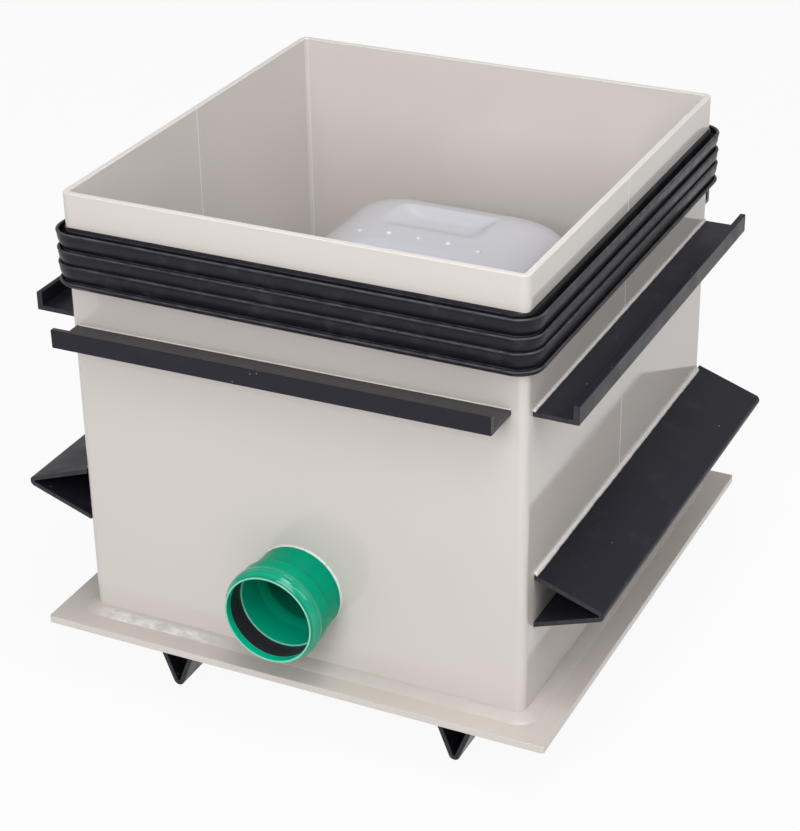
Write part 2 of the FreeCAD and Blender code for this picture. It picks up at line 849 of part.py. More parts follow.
def valve_lid():
    lid = lid_slab(lid_bottom, lid_top)
    lid = lid.cut(screw_holes(lid_bottom, lid_top))
    lid = lid.cut(upright_cylinder(gland_radius + gland_fit, 0, stem_y, lid_bottom, lid_top))
    plug_hole = upright_cylinder(plug_radius + plug_play, plug_x, valve_centre + plug_y, lid_bottom, lid_top)
    return lid.cut(plug_hole)


def test_plug():
    y = valve_centre + plug_y
    shank = upright_cylinder(plug_radius, plug_x, y, lid_bottom, lid_top)
    return shank.fuse(hexagon(plug_head_radius, plug_x, y, lid_top, lid_top + plug_head_height))


def lid_screws():
    screws = []
    for x, y in screw_places():
        shank = upright_cylinder(screw_radius, x, y, flange_top - flange_thickness, lid_top)
        screws.append(shank.fuse(hexagon(screw_head_radius, x, y, lid_top, lid_top + screw_head_height)))
    return Part.makeCompound(screws)


def hood_half_sizes():
    return lid_half_x - hood_lid_margin, lid_half_y - hood_lid_margin


def hood_outline(height, shrink):
    half_x, half_y = hood_half_sizes()
    radius = min(hood_corner_radius, half_x - shrink - 1, half_y - shrink - 1)
    outline = rounded_rectangle(half_x - shrink, half_y - shrink, radius, lid_top + height)
    return moved(outline, y=valve_centre)


def hood_form(inset, drop):
    # Straight walls with a little draft, then a dome whose height and inset follow an ellipse
    wall_height_here = hood_straight_height - drop
    wall_shrink = hood_draft + inset
    walls = Part.makeLoft([hood_outline(0, inset), hood_outline(wall_height_here, wall_shrink)], True, True)
    outlines = []
    for angle in hood_dome_angles:
        turn = math.radians(angle)
        height = wall_height_here + hood_dome_height * math.sin(turn)
        outlines.append(hood_outline(height, wall_shrink + hood_dome_inset * (1 - math.cos(turn))))
    return walls.fuse(Part.makeLoft(outlines, True, False))


def hood_crown():
    return lid_top + hood_straight_height + hood_dome_height


def recess_outline(start, end, half, corner, z):
    outline = rounded_rectangle(half, (end - start) / 2, corner, z)
    return moved(outline, y=valve_centre + (start + end) / 2)


def hood_recess(grow):
    # Hand recess of the hood: a flat floor, a steep wall at the rim side and long slopes elsewhere
    floor = hood_crown() - recess_depth - grow
    top = hood_crown() + recess_depth - grow
    low_start = recess_floor_start - grow
    low_end = recess_floor_end + grow
    low_half = recess_floor_half_width + grow
    high_start = 2 * (recess_rim_start - grow) - low_start
    high_end = 2 * (recess_rim_end + grow) - low_end
    high_half = 2 * (recess_rim_half_width + grow) - low_half
    high_corner = 2 * recess_rim_corner - recess_floor_corner
    return Part.makeLoft([
        recess_outline(low_start, low_end, low_half, recess_floor_corner, floor),
        recess_outline(high_start, high_end, high_half, high_corner, top),
    ], True, True)


def hood_height_at(x):
    half_x = hood_half_sizes()[0]
    inset = half_x - hood_draft - abs(x)
    cosine = max(0.0, 1 - inset / hood_dome_inset)
    return lid_top + hood_straight_height + hood_dome_height * math.sqrt(1 - cosine ** 2)


def hood_skirt():
    skirt_x = lid_half_x + hood_skirt_gap
    skirt_y = lid_half_y + hood_skirt_gap
    radius = flange_corner_radius + hood_skirt_gap
    half_x, half_y = hood_half_sizes()
    low = lid_top - hood_skirt_depth
    high = lid_top + hood_wall
    outer = slab(skirt_x + hood_wall, skirt_y + hood_wall, radius + hood_wall, low, high)
    around_lid = slab(skirt_x, skirt_y, radius, low, lid_top)
    inner_x = half_x - hood_wall
    inner_y = half_y - hood_wall
    window = slab(inner_x, inner_y, hood_corner_radius, lid_top, high)
    return moved(outer.cut(around_lid).cut(window), y=valve_centre)


def hood_nub(x):
    surface = hood_height_at(x)
    low = surface - hood_wall / 2
    rise = surface + nub_height - low
    return Part.makeCone(nub_radius, nub_top_radius, rise, Vector(x, valve_centre, low), along_z)


def protective_hood():
    outer = hood_form(0, 0)
    hollow = hood_form(hood_wall, hood_wall)
    centre = Vector(0, valve_centre, 0)
    for turn in (0, 180):
        outer = outer.cut(turned(hood_recess(0), along_z, turn, centre))
        hollow = hollow.cut(turned(hood_recess(hood_wall), along_z, turn, centre))
    hood = outer.cut(hollow).fuse(hood_skirt())
    for nub in range(nub_count):
        hood = hood.fuse(hood_nub((nub - (nub_count - 1) / 2) * nub_spacing))
    return hood


def build():
    ring = wall_ring()
    right = (1, right_channel_height, right_channel_shift)
    left = (-1, left_channel_height, left_channel_shift)
    angle_welds = [on_side(side, weld_profile(profile_weld_leg)) for side in angle_sides]
    nodes = {
        "base_plate": base_plate(),
        "front_wall_shell": wall_shell(ring, -1, socket_outer_radius),
        "rear_wall_shell": wall_shell(ring, 1, pipe_outer_radius),
        "base_weld_bead": base_weld_bead(),
        "right_anchor_channel": anchor_channel(*right),
        "left_anchor_channel": anchor_channel(*left),
        "anchor_channel_weld_beads": Part.makeCompound([channel_weld(*right), channel_weld(*left)]),
        "right_foot_rail": foot_rail(1),
        "left_foot_rail": foot_rail(-1),
        "key_angle_weld_beads": Part.makeCompound(angle_welds),
        "sealing_gaiter": sealing_gaiter(),
        "inlet_socket_pipe": inlet_socket_pipe(),
        "inlet_lip_seal": inlet_lip_seal(),
        "inlet_weld_ring": pipe_weld_ring(socket_outer_radius, -1),
        "outlet_spigot_pipe": outlet_spigot_pipe(),
        "outlet_weld_ring": pipe_weld_ring(pipe_outer_radius, 1),
        "valve_body": valve_body(),
        "front_saddle": valve_saddle(-1),
        "rear_saddle": valve_saddle(1),
        "service_flap": service_flap(),
        "flap_seal": flap_seal(),
        "flap_hinge_pin": flap_hinge_pin(),
        "closing_disc": closing_disc(),
        "closing_stem": closing_stem(),
        "closing_lever": closing_lever(),
        "stem_gland": stem_gland(),
        "stem_o_ring": stem_o_ring(),
        "lid_gasket": lid_gasket(),
        "valve_lid": valve_lid(),
        "test_plug": test_plug(),
        "lid_screws": lid_screws(),
        "protective_hood": protective_hood(),
    }
    for side in angle_sides:
        nodes[side + "_key_angle"] = on_side(side, angle_profile())
    return nodes


os.makedirs("parts", exist_ok=True)
for name, shape in build().items():
    shape.exportStep("parts/" + name + ".step")
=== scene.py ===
import math

import bmesh
import bpy
from mathutils import Matrix, Vector, noise


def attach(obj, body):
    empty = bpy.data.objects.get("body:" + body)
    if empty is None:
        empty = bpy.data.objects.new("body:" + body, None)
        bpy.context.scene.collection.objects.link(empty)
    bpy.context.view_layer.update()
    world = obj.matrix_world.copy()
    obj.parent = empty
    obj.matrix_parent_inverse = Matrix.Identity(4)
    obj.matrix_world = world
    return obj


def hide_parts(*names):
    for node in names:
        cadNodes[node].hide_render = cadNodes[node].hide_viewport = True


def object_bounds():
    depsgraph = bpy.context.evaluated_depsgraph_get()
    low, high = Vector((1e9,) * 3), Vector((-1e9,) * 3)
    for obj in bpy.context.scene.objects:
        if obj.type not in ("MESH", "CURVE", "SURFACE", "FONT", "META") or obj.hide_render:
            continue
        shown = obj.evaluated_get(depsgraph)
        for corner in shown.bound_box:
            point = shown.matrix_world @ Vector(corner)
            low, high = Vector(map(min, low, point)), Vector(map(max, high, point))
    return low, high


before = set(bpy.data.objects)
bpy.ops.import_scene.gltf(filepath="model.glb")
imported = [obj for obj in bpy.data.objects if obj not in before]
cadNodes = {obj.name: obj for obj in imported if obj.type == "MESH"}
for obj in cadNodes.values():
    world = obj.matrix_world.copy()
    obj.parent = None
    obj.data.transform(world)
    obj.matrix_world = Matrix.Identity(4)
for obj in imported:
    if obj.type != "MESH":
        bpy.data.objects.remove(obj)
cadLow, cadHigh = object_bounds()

milli = 0.001
mergeDistance = 0.00001
sliverWidth = 0.0001
closingRows = 2
hiddenCorner = 2.0
# share of a line's reach that has its full strength
lineCore = 0.3
# parts of a cloud's range that patterns use
wideBand = (0.3, 0.7)
narrowBand = (0.35, 0.65)
print("frame loaded:", len(cadNodes), "nodes")


# A socket that can be used in sums, so that shader maths reads as maths
class Tone:
    def __init__(self, finish, socket):
        self.finish = finish
        self.socket = socket

    def sum(self, operation, first, second):
        return self.finish.add("ShaderNodeMath", {"operation": operation}, {0: first, 1: second})

    def __add__(self, other):
        return self.sum("ADD", self, other)

    def __radd__(self, other):
        return self.sum("ADD", other, self)

    def __sub__(self, other):
        return self.sum("SUBTRACT", self, other)

    def __rsub__(self, other):
        return self.sum("SUBTRACT", other, self)

    def __mul__(self, other):
        return self.sum("MULTIPLY", self, other)

    def __rmul__(self, other):
        return self.sum("MULTIPLY", other, self)

    def __abs__(self):
        return self.sum("ABSOLUTE", self, 0.0)

    def larger(self, other):
        return self.sum("MAXIMUM", self, other)


# One material: its node tree, its shader and the few patterns that the finishes share
class Finish:
    def __init__(self, name):
        self.material = bpy.data.materials.new(name)
        self.material.use_nodes = True
        self.tree = self.material.node_tree
        self.tree.nodes.clear()
        self.shader = self.tree.nodes.new("ShaderNodeBsdfPrincipled")
        self.output = self.tree.nodes.new("ShaderNodeOutputMaterial")
        self.tree.links.new(self.shader.outputs[0], self.output.inputs["Surface"])
        self.place = self.add("ShaderNodeTexCoord", {}, {}, "Object")
        self.x, self.y, self.z = self.split(self.place)

    def add(self, kind, settings, sockets, out=0):
        node = self.tree.nodes.new(kind)
        for key, value in settings.items():
            setattr(node, key, value)
        for key, value in sockets.items():
            self.plug(node.inputs[key], value)
        return Tone(self, node.outputs[out])

    def plug(self, socket, value):
        if isinstance(value, Tone):
            self.tree.links.new(value.socket, socket)
        else:
            socket.default_value = value

    def set(self, **sockets):
        for key, value in sockets.items():
            self.plug(self.shader.inputs[key.replace("_", " ")], value)

    def split(self, vector):
        return [self.add("ShaderNodeSeparateXYZ", {}, {0: vector}, axis) for axis in "XYZ"]

    def cloud(self, scale, detail, stretch=None, roughness=0.5):
        vector = self.place
        if stretch:
            vector = self.add("ShaderNodeMapping", {}, {"Vector": self.place, "Scale": stretch})
        sockets = {"Vector": vector, "Scale": scale, "Detail": detail, "Roughness": roughness}
        return self.add("ShaderNodeTexNoise", {}, sockets)

    def ramp(self, value, low, high, start=0.0, end=1.0):
        sockets = {"Value": value, "From Min": low, "From Max": high, "To Min": start, "To Max": end}
        settings = {"clamp": True, "interpolation_type": "SMOOTHSTEP"}
        return self.add("ShaderNodeMapRange", settings, sockets)

    def fall(self, value, low, high):
        return self.ramp(value, low, high, 1.0, 0.0)

    # One on a line, falling to nothing at the given distance from it
    def near(self, value, line, distance):
        return self.fall(abs(value - line), lineCore * distance, distance)

    def blend(self, factor, first, second):
        settings = {"data_type": "RGBA"}
        return self.add("ShaderNodeMix", settings, {"Factor": factor, 6: first, 7: second}, 2)

    def bump(self, height, strength, distance, under=None):
        sockets = {"Height": height, "Strength": strength, "Distance": distance}
        if under:
            sockets["Normal"] = under
        return self.add("ShaderNodeBump", {}, sockets)


def opaque(red, green, blue):
    return (red, green, blue, 1.0)


def lifted(colour, share):
    return opaque(*[channel * share for channel in colour[:3]])


def paint(finish, *names):
    for name in names:
        mesh = cadNodes[name].data
        mesh.materials.clear()
        mesh.materials.append(finish.material)


# Pieces are grids wrapped onto their form: place(u, v) gives each vertex its point.
# The closing rows shut a bead at its back, by way of its hidden corner
def wrap(shape, columns, rows, place, closing=0):
    steps = rows + closing
    grid = bmesh.ops.create_grid(shape, x_segments=columns, y_segments=steps, size=1.0)
    for vert in grid["verts"]:
        row = round((vert.co.y + 1) / 2 * steps)
        v = row / rows if row <= rows else hiddenCorner * (steps - row)
        vert.co = place((vert.co.x + 1) / 2, v)


def finishPiece(shape, name, finish, nodes, sharp=None):
    bmesh.ops.remove_doubles(shape, verts=shape.verts, dist=mergeDistance)
    openEdges = [edge for edge in shape.edges if edge.is_boundary]
    bmesh.ops.holes_fill(shape, edges=openEdges, sides=0)
    bmesh.ops.recalc_face_normals(shape, faces=shape.faces)
    if shape.calc_volume(signed=True) < 0:
        bmesh.ops.reverse_faces(shape, faces=shape.faces)
    for part in shape.faces:
        part.smooth = True
    mesh = bpy.data.meshes.new(name)
    shape.to_mesh(mesh)
    shape.free()
    if sharp:
        mesh.set_sharp_from_angle(angle=math.radians(sharp))
    mesh.materials.append(finish.material)
    piece = bpy.data.objects.new(name, mesh)
    bpy.context.scene.collection.objects.link(piece)
    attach(piece, "chamber")
    if nodes:
        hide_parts(*nodes)


box = {
    "halfX": 0.300,
    "halfY": 0.310,
    "corner": 0.011,
    "base": 0.090,
    "rim": 0.670,
    "wall": 0.008,
    # share of each quarter's columns that go round its corner
    "turnShare": 0.24,
}


# Point on the box's outline and the way out of the wall there, for a share of the way round
def aroundBox(share):
    quarter, within = divmod(share * 4, 1)
    quarter = int(quarter) % 4
    reach, side = (box["halfX"], box["halfY"]) if quarter % 2 == 0 else (box["halfY"], box["halfX"])
    run = side - box["corner"]
    straight = 1 - box["turnShare"]
    if within < straight:
        out = Vector((1, 0, 0))
        point = Vector((reach, run * (2 * within / straight - 1), 0))
    else:
        angle = (within - straight) / box["turnShare"] * math.pi / 2
        out = Vector((math.cos(angle), math.sin(angle), 0))
        point = Vector((reach - box["corner"], run, 0)) + out * box["corner"]
    turn = Matrix.Rotation(quarter * math.pi / 2, 3, "Z")
    return turn @ point, turn @ out


def waver(point, scale, seed):
    return noise.noise(Vector(point) * scale + Vector((seed, 2.0 * seed, 0.0)))


# In the finishes a cloud has a scale, a detail and sometimes a stretch and a roughness,
# a bump has a strength and a distance, and a change is what a pattern adds at its two ends
sheet = {
    "colour": opaque(0.60, 0.557, 0.525),
    # painted highlight along the top of the rim
    "paintedHighlight": opaque(0.605, 0.568, 0.54),
    # painted highlight at the folds of the inner corners
    "foldHighlight": opaque(0.70, 0.67, 0.645),
    "shade": opaque(0.575, 0.533, 0.498),
    # painted shade on the top of the plate
    "plate": opaque(0.51, 0.463, 0.43),
    "driftCloud": (2.2, 1.0),
    "rimStart": 0.0012,
    "rimEnd": 0.0004,
    "plateSkin": 0.0008,
    "innerFold": 0.0033,
    "creaseWidth": 0.0013,
    "roughness": 0.07,
    "glossCloud": (9.0, 3.0),
    "glossChange": (-0.02, 0.03),
    "grainCloud": (1400.0, 2.0),
    "grainBump": (0.03, 0.0003),
    "waveCloud": (5.0, 0.0),
    "waveBump": (0.06, 0.003),
}


def sheetFinish():
    finish = Finish("pebbleSheet")
    drift = finish.ramp(finish.cloud(*sheet["driftCloud"]), *narrowBand)
    colour = finish.blend(drift, sheet["colour"], sheet["shade"])
    # painted highlight along the top of the rim
    rim = finish.ramp(finish.z, cadHigh.z - sheet["rimStart"], cadHigh.z - sheet["rimEnd"])
    colour = finish.blend(rim, colour, sheet["paintedHighlight"])
    # painted shade: the top of the plate is a little darker than the walls
    plateTopShade = finish.near(finish.z, box["base"], sheet["plateSkin"])
    colour = finish.blend(plateTopShade, colour, sheet["plate"])
    # painted highlight of the folds: a pale line on both sides of each inner corner
    innerX = box["halfX"] - box["wall"]
    innerY = box["halfY"] - box["wall"]
    atX = finish.near(abs(finish.x), innerX - sheet["innerFold"], sheet["creaseWidth"])
    atX = atX * finish.near(abs(finish.y), innerY, sheet["creaseWidth"])
    atY = finish.near(abs(finish.y), innerY - sheet["innerFold"], sheet["creaseWidth"])
    atY = atY * finish.near(abs(finish.x), innerX, sheet["creaseWidth"])
    colour = finish.blend(atX.larger(atY), colour, sheet["foldHighlight"])
    gloss = finish.ramp(finish.cloud(*sheet["glossCloud"]), *wideBand, *sheet["glossChange"])
    grain = finish.bump(finish.cloud(*sheet["grainCloud"]), *sheet["grainBump"])
    wave = finish.bump(finish.cloud(*sheet["waveCloud"]), *sheet["waveBump"], grain)
    finish.set(Base_Color=colour, Roughness=sheet["roughness"] + gloss, Normal=wave)
    return finish


profile = {
    "colour": opaque(0.0112, 0.0108, 0.0175),
    "dust": opaque(0.04, 0.04, 0.048),
    "cut": opaque(0.032, 0.032, 0.038),
    "lighterTop": opaque(0.052, 0.048, 0.046),
    "speck": opaque(0.16, 0.16, 0.17),
    "dustCloud": (30.0, 5.0),
    "dustBand": (0.55, 0.8),
    "dustShare": 0.3,
    "speckScale": 75.0,
    "speckSize": (0.05, 0.1),
    "speckCloud": (18.0, 2.0),
    "speckBand": (0.5, 0.6),
    # where a face begins to count as square to an axis, and where it fully does
    "square": (0.9, 0.97),
    "lighterTopShare": 0.8,
    "scratchCloud": (260.0, 3.0, (1.0, 1.0, 0.12)),
    "scratchChange": (0.35, 1.0),
    "roughness": 0.36,
    "glossCloud": (20.0, 4.0),
    "glossChange": (-0.05, 0.08),
    "grainCloud": (900.0, 2.0),
    "grainBump": (0.06, 0.0005),
    "specular": 0.22,
}


# Black sheet; its sawn ends face along the given axis and are paler and scratched,
# and its flat tops are lighter by the given share
def profileFinish(name, axis, lighterTopShare):
    finish = Finish(name)
    dust = finish.ramp(finish.cloud(*profile["dustCloud"]), *profile["dustBand"])
    colour = finish.blend(dust * profile["dustShare"], profile["colour"], profile["dust"])
    sockets = {"Vector": finish.place, "Scale": profile["speckScale"]}
    grains = finish.add("ShaderNodeTexVoronoi", {}, sockets, "Distance")
    some = finish.ramp(finish.cloud(*profile["speckCloud"]), *profile["speckBand"])
    speck = finish.fall(grains, *profile["speckSize"]) * some
    colour = finish.blend(speck, colour, profile["speck"])
    facing = finish.split(finish.add("ShaderNodeTexCoord", {}, {}, "Normal"))
    top = finish.ramp(facing[2], *profile["square"])
    colour = finish.blend(top * lighterTopShare, colour, profile["lighterTop"])
    sawn = finish.ramp(abs(facing["XYZ".index(axis)]), *profile["square"])
    scratch = finish.ramp(finish.cloud(*profile["scratchCloud"]), *wideBand, *profile["scratchChange"])
    colour = finish.blend(sawn * scratch, colour, profile["cut"])
    gloss = finish.ramp(finish.cloud(*profile["glossCloud"]), *wideBand, *profile["glossChange"])
    grain = finish.bump(finish.cloud(*profile["grainCloud"]), *profile["grainBump"])
    finish.set(Base_Color=colour, Roughness=profile["roughness"] + gloss, Normal=grain)
    finish.set(Specular_IOR_Level=profile["specular"])
    return finish


rubber = {
    "gaiter": opaque(0.0098, 0.0092, 0.0135),
    # the seal's rubber is lighter than the gaiter's: a painted sheen
    "seal": opaque(0.026, 0.023, 0.029),
    # paler rubber for the bloom and for the painted highlight on the gaiter's beads
    "edge": opaque(0.075, 0.070, 0.078),
    "bloomCloud": (45.0, 4.0),
    "bloomBand": (0.5, 0.8),
    "bloomShare": 0.25,
    # heights of the gaiter's beads, whose tops get a painted highlight
    "beadHighlights": (0.5590, 0.5815, 0.6000, 0.6230),
    "beadHeight": 0.0012,
    "beadShineCloud": (70.0, 3.0),
    "beadShineChange": (0.35, 0.9),
    "roughness": 0.36,
    "glossCloud": (60.0, 3.0),
    "glossChange": (-0.06, 0.06),
    "grainCloud": (700.0, 2.0),
    "grainBump": (0.08, 0.0005),
    "specular": 0.22,
}


def rubberFinish(name, tone):
    finish = Finish(name)
    bloomAndBeadShine = finish.ramp(finish.cloud(*rubber["bloomCloud"]), *rubber["bloomBand"]) * rubber["bloomShare"]
    beadShine = finish.ramp(finish.cloud(*rubber["beadShineCloud"]), *wideBand, *rubber["beadShineChange"])
    # painted highlight along the tops of the gaiter's beads, broken up by a cloud
    for height in rubber["beadHighlights"]:
        bloomAndBeadShine = bloomAndBeadShine.larger(finish.near(finish.z, height, rubber["beadHeight"]) * beadShine)
    colour = finish.blend(bloomAndBeadShine, rubber[tone], rubber["edge"])
    gloss = finish.ramp(finish.cloud(*rubber["glossCloud"]), *wideBand, *rubber["glossChange"])
    grain = finish.bump(finish.cloud(*rubber["grainCloud"]), *rubber["grainBump"])
    finish.set(Base_Color=colour, Roughness=rubber["roughness"] + gloss, Normal=grain)
    finish.set(Specular_IOR_Level=rubber["specular"])
    return finish


pipe = {
    "colour": opaque(0.0, 0.300, 0.172),
    "deep": opaque(0.0, 0.27, 0.15),
    # painted light inside the socket
    "lit": opaque(0.0, 0.42, 0.25),
    # painted highlight on the mouth's face and on the socket's inner edges
    "cut": opaque(0.19, 0.58, 0.42),
    # painted shade in the outer creases and deep in the bore
    "groove": opaque(0.0, 0.17, 0.09),
    "axis": 0.196,
    "mouth": -0.390,
    "inside": 0.0575,
    "insideCore": 0.99,
    # stations behind the mouth: end of the painted light inside, start of the painted shade deep in the
    # bore, the lip's painted highlight, end of the bead
    "paintedGlowBand": (0.070, 0.092),
    "boreShadeBand": (0.088, 0.096),
    "boreShadeShare": 0.9,
    "lipHighlightBand": (0.0002, 0.0007),
    "beadBand": (0.020, 0.024),
    # stations of the painted shade lines in the outer creases and of the painted highlights on the inner
    # edges, each with its strength
    "grooves": [(0.0036, 0.6), (0.0136, 0.35), (0.0208, 0.4), (0.0438, 0.6)],
    "grooveWidth": 0.0011,
    "edges": [(0.0100, 0.6), (0.0370, 1.0)],
    "edgeHighlightWidth": 0.0009,
    "streakCloud": (40.0, 3.0, (1.0, 0.08, 1.0)),
    "streakShare": 0.4,
    "streakBump": (0.04, 0.0006),
    "roughness": 0.1,
    "glossCloud": (25.0, 3.0),
    "glossChange": (-0.03, 0.05),
    "specular": 0.03,
    "coat": 0.8,
    "coatRoughness": 0.06,
}


def behindMouth(band):
    return [pipe["mouth"] + station for station in band]


def pipeFinish():
    finish = Finish("greenPipe")
    streak = finish.ramp(finish.cloud(*pipe["streakCloud"]), *narrowBand)
    colour = finish.blend(streak * pipe["streakShare"], pipe["colour"], pipe["deep"])
    rise = finish.z - pipe["axis"]
    spread = finish.x * finish.x + rise * rise
    limit = pipe["inside"] ** 2
    inside = finish.fall(spread, pipe["insideCore"] * limit, limit)
    # painted light makes the socket lighter inside, down to its shoulder
    paintedGlow = inside * finish.fall(finish.y, *behindMouth(pipe["paintedGlowBand"]))
    colour = finish.blend(paintedGlow, colour, pipe["lit"])
    # painted shade deep in the bore
    boreShade = inside * finish.ramp(finish.y, *behindMouth(pipe["boreShadeBand"]))
    colour = finish.blend(boreShade * pipe["boreShadeShare"], colour, pipe["groove"])
    # painted highlights on the mouth's face and on the inner edges
    paintedHighlight = finish.fall(finish.y, *behindMouth(pipe["lipHighlightBand"]))
    for station, share in pipe["edges"]:
        edge = finish.near(finish.y, pipe["mouth"] + station, pipe["edgeHighlightWidth"])
        paintedHighlight = paintedHighlight.larger(edge * inside * share)
    colour = finish.blend(paintedHighlight, colour, pipe["cut"])
    outside = 1.0 - inside
    # painted shade along the creases of the outside
    for station, share in pipe["grooves"]:
        line = finish.near(finish.y, pipe["mouth"] + station, pipe["grooveWidth"])
        colour = finish.blend(line * outside * share, colour, pipe["groove"])
    bead = outside * finish.fall(finish.y, *behindMouth(pipe["beadBand"]))
    gloss = finish.ramp(finish.cloud(*pipe["glossCloud"]), *wideBand, *pipe["glossChange"])
    finish.set(Base_Color=colour, Roughness=pipe["roughness"] + gloss)
    finish.set(Normal=finish.bump(streak, *pipe["streakBump"]), Specular_IOR_Level=pipe["specular"])
    finish.set(Coat_Weight=bead * pipe["coat"], Coat_Roughness=pipe["coatRoughness"])
    return finish


weld = {
    # the broad weld's colour is darker than the sheet's: painted shade against the light on its upward
    # faces
    "broad": opaque(0.49, 0.452, 0.421),
    "thin": opaque(0.66, 0.63, 0.61),
    # painted highlight on the left half of the front run
    "weldHighlight": opaque(0.72, 0.695, 0.67),
    "patchCloud": (60.0, 4.0),
    "patchBand": (0.4, 0.65),
    "patchLift": 1.1,
    "patchShare": 0.3,
    # where the left half of the front run gets a painted highlight: along it, ahead of the wall, above
    # the plate
    "highlightFrom": -0.30,
    "highlightTo": -0.09,
    "highlightStart": 0.04,
    "highlightEnd": 0.07,
    "highlightAhead": (0.005, 0.001),
    "highlightAbove": (0.004, 0.006),
    "weldHighlightCloud": (120.0, 6.0, (0.45, 1.0, 1.0), 0.65),
    "weldHighlightBand": (0.38, 0.62),
    "weldHighlightShare": 0.75,
    "roughness": 0.3,
    "patchRoughness": 0.08,
    "skinCloud": (160.0, 3.0),
    "skinBump": (0.05, 0.001),
}


def weldFinish(name, tone):
    finish = Finish(name)
    patch = finish.ramp(finish.cloud(*weld["patchCloud"]), *weld["patchBand"])
    colour = finish.blend(patch * weld["patchShare"], weld[tone], lifted(weld[tone], weld["patchLift"]))
    # painted highlight on the left half of the front run, broken up by a cloud
    along = finish.ramp(finish.x, weld["highlightFrom"], weld["highlightFrom"] + weld["highlightStart"])
    along = along * finish.fall(finish.x, weld["highlightTo"] - weld["highlightEnd"], weld["highlightTo"])
    ahead = finish.fall(finish.y, *[-box["halfY"] - distance for distance in weld["highlightAhead"]])
    low = finish.fall(finish.z, *[box["base"] + height for height in weld["highlightAbove"]])
    weldHighlightBreakup = finish.ramp(finish.cloud(*weld["weldHighlightCloud"]), *weld["weldHighlightBand"])
    weldHighlightMask = along * ahead * weldHighlightBreakup * low * weld["weldHighlightShare"]
    colour = finish.blend(weldHighlightMask, colour, weld["weldHighlight"])
    finish.set(Base_Color=colour, Roughness=weld["roughness"] + weld["patchRoughness"] * patch)
    finish.set(Normal=finish.bump(finish.cloud(*weld["skinCloud"]), *weld["skinBump"]))
    return finish


hoodForm = {
    "centre": 0.045,
    "foot": 0.341,
    "halfX": 0.165,
    "halfY": 0.190,
    "corner": 0.062,
    "draft": 0.009,
    "straight": 0.125,
    "dome": 0.055,
    "inset": 0.115,
    "skirtOut": 0.011,
    "skirtDrop": 0.022,
    "wall": 0.003,
    "columns": 320,
    "rows": 96,
    # shares of the rows at which the skirt and the wall end, and of the skirt's at its top and ledge
    "skirtRows": 0.06,
    "wallRows": 0.25,
    "skirtTop": 0.7,
    "skirtLedge": 0.75,
    "rowCrowding": 1.3,
    # finger recesses: near and far end and half width of the floor, and the slopes up from these
    "recessDepth": 0.017,
    "recessFloor": (0.064, 0.098, 0.048),
    "recessSlope": (0.033, 0.009, 0.022),
    "slopeBlend": 0.8,
    "floorBlend": 0.6,
    "soft": 0.007,
    "nubs": (-0.084, -0.042, 0.0, 0.042, 0.084),
    "nubRadius": 0.005,
    "nubHeight": 0.0020,
    "nubColumns": 24,
    "nubRows": 12,
}


hood = {
    "colour": opaque(0.505, 0.503, 0.54),
    # painted shade: the hood is bluer towards the front
    "thin": opaque(0.47, 0.485, 0.66),
    "frontShadeBand": (-0.14, 0.06),
    "glint": opaque(0.86, 0.86, 0.90),
    "nubShine": (0.25, 0.5, 0.35, 0.5, 0.25),
    "nubCore": 0.1,
    "roughness": 0.26,
    "alpha": 0.94,
    "coat": 0.3,
    "coatRoughness": 0.36,
}


def hoodFinish():
    finish = Finish("milkyHood")
    # painted shade: the hood is bluer towards the front
    colour = finish.blend(finish.fall(finish.y, *hood["frontShadeBand"]), hood["colour"], hood["thin"])
    # painted glints on the nubs
    aside = finish.y - hoodForm["centre"]
    limit = hoodForm["nubRadius"] ** 2
    for place, shine in zip(hoodForm["nubs"], hood["nubShine"]):
        across = finish.x - place
        spread = across * across + aside * aside
        paintedHighlight = finish.ramp(spread, hood["nubCore"] * limit, limit, shine, 0.0)
        colour = finish.blend(paintedHighlight, colour, hood["glint"])
    finish.set(Base_Color=colour, Roughness=hood["roughness"], Alpha=hood["alpha"])
    finish.set(Coat_Weight=hood["coat"], Coat_Roughness=hood["coatRoughness"])
    return finish


moulding = {
    "dark": opaque(0.06, 0.06, 0.066),
    "grey": opaque(0.28, 0.28, 0.30),
    "lever": opaque(0.16, 0.16, 0.18),
    "patchCloud": (25.0, 4.0),
    "patchBand": (0.35, 0.7),
    "patchLift": 1.25,
    "roughness": 0.45,
    "patchRoughness": 0.08,
    "grainCloud": (1100.0, 2.0),
    "grainBump": (0.1, 0.0004),
}


def mouldingFinish(name, tone):
    finish = Finish(name)
    patch = finish.ramp(finish.cloud(*moulding["patchCloud"]), *moulding["patchBand"])
    colour = finish.blend(patch, moulding[tone], lifted(moulding[tone], moulding["patchLift"]))
    finish.set(Base_Color=colour, Roughness=moulding["roughness"] + moulding["patchRoughness"] * patch)
    finish.set(Normal=finish.bump(finish.cloud(*moulding["grainCloud"]), *moulding["grainBump"]))
    return finish


steel = {
    "colour": opaque(0.55, 0.55, 0.56),
    "roughness": 0.3,
    "scratchCloud": (300.0, 3.0, (1.0, 1.0, 0.1)),
    "scratchBand": (0.35, 0.7),
    "scratchRoughness": 0.12,
}


def steelFinish():
    finish = Finish("plainSteel")
    scratch = finish.ramp(finish.cloud(*steel["scratchCloud"]), *steel["scratchBand"])
    rough = steel["roughness"] + steel["scratchRoughness"] * scratch
    finish.set(Base_Color=steel["colour"], Metallic=1.0, Roughness=rough)
    return finish


